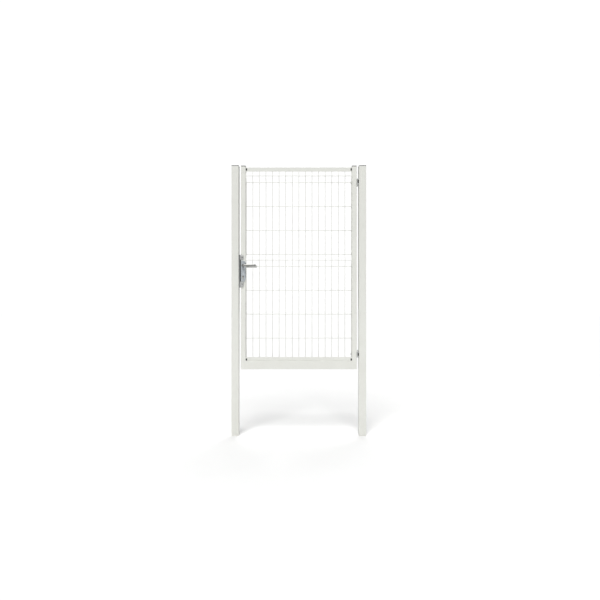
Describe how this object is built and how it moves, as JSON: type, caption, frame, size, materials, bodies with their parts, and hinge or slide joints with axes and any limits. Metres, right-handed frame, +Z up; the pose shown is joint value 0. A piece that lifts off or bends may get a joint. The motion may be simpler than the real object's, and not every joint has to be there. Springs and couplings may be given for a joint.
{
  "type": "garden gate",
  "caption": "Single garden gate with square posts, folded wire mesh leaf on adjustable pin hinges, lever handles, spring latch and keyed dead bolt.",
  "frame": {"origin": "in the plane of the post feet, midway between the two posts and at their middle plane", "axes": "+X from the latch post to the hinge post, +Y away from the side with the stop lugs, +Z up"},
  "size_m": [1.12, 0.138, 2.25],
  "materials": {
    "white_powder_coat": "satin powder coat with fine orange peel over galvanised steel",
    "white_wire_coat": "satin powder coat on welded wire",
    "grey_plastic": "moulded polyethylene, slightly scuffed",
    "black_plastic": "moulded black plastic",
    "black_nylon": "glass-filled black nylon",
    "black_rubber": "soft black rubber",
    "galvanised_steel": "dull zinc coating",
    "zinc_fasteners": "bright zinc plating",
    "stainless_steel": "brushed stainless steel",
    "brass_nickel": "nickel-plated brass",
    "satin_aluminium": "satin anodised aluminium"
  },
  "bodies": {
    "posts": {"latch_post": "white_powder_coat", "hinge_post": "white_powder_coat", "latch_post_cap": "grey_plastic", "hinge_post_cap": "grey_plastic", "upper_hinge_knuckle": "black_nylon", "lower_hinge_knuckle": "black_nylon", "upper_hinge_pin": "zinc_fasteners", "lower_hinge_pin": "zinc_fasteners", "knuckle_screws": "zinc_fasteners", "hinge_circlips": "zinc_fasteners", "keep": "galvanised_steel", "keep_pads": "black_rubber", "keep_screws": "zinc_fasteners", "keep_spacers": "zinc_fasteners"},
    "leaf": {"latch_stile": "white_powder_coat", "hinge_stile": "white_powder_coat", "latch_stile_cap": "grey_plastic", "hinge_stile_cap": "grey_plastic", "bottom_rail": "white_powder_coat", "mesh_channel": "white_powder_coat", "top_rail": "white_powder_coat", "vertical_wires": "white_wire_coat", "horizontal_wires": "white_wire_coat", "mesh_clips": "black_plastic", "upper_hinge_fork": "galvanised_steel", "lower_hinge_fork": "galvanised_steel", "hinge_washers": "zinc_fasteners", "hinge_nuts": "zinc_fasteners", "lock_case": "stainless_steel", "lock_case_cover": "stainless_steel", "forend_screws": "zinc_fasteners", "lock_cylinder": "brass_nickel", "cylinder_screw": "zinc_fasteners", "latch_spring": "stainless_steel", "front_cover_plate": "satin_aluminium", "rear_cover_plate": "satin_aluminium", "cover_plate_bolts": "zinc_fasteners"},
    "handle": {"spindle": "stainless_steel", "follower": "stainless_steel", "front_lever": "satin_aluminium", "rear_lever": "satin_aluminium"},
    "latch": {"latch_bolt": "stainless_steel"},
    "key_plug": {"cylinder_plugs": "brass_nickel", "cylinder_cam": "stainless_steel"},
    "deadbolt": {"dead_bolt": "stainless_steel"}
  },
  "joints": [
    {"name": "leaf_swing", "type": "hinge", "parent": "posts", "child": "leaf", "pos_m": [0.4915, 0.024, 1.4], "axis": [0, 0, -1], "range_deg": [0, 110]},
    {"name": "lever_turn", "type": "hinge", "parent": "leaf", "child": "handle", "pos_m": [-0.465, 0, 1.415], "axis": [0, 1, 0], "range_deg": [0, 42], "stiffness_Nm_per_rad": 1, "springref_deg": -28.65},
    {"name": "latch_slide", "type": "slide", "parent": "leaf", "child": "latch", "axis": [1, 0, 0], "range_m": [0, 0.013], "deforming": ["latch_spring"]},
    {"name": "key_turn", "type": "hinge", "parent": "leaf", "child": "key_plug", "pos_m": [-0.465, 0, 1.323], "axis": [0, -1, 0], "range_deg": [0, 360]},
    {"name": "deadbolt_slide", "type": "slide", "parent": "leaf", "child": "deadbolt", "axis": [-1, 0, 0], "range_m": [0, 0.013]}
  ],
  "couplings": [
    {"joint": "latch_slide", "follows": "lever_turn", "m_per_rad": 0.017734},
    {"joint": "key_turn", "follows": "deadbolt_slide", "rad_per_m": 483.32}
  ]
}
